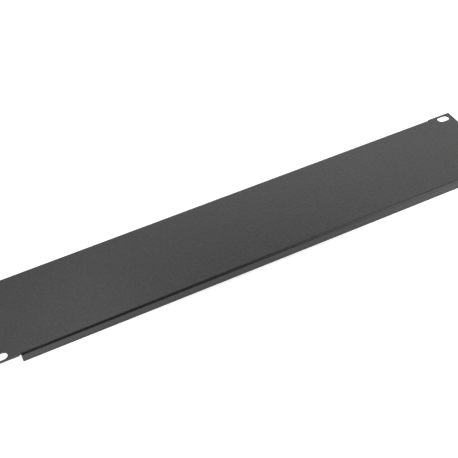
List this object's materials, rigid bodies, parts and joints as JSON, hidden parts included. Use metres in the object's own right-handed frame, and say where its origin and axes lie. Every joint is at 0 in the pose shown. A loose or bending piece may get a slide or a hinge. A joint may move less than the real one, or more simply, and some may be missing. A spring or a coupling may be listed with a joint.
{
  "type": "rack blanking panel",
  "caption": "Flat sheet-steel blanking panel for a standard-width equipment rack, with rounded folds down its long sides and slotted mounting ears at its ends.",
  "frame": {"origin": "middle of the panel, on the plane of the folds' free edges that it lies on", "axes": "+X along the panel, +Y across it, +Z out of the front face"},
  "size_m": [0.4826, 0.0882, 0.0088],
  "materials": {
    "black_powder_coat": "satin black powder coat with a fine grain"
  },
  "bodies": {
    "root": {"blanking_panel": "black_powder_coat"}
  },
  "joints": []
}
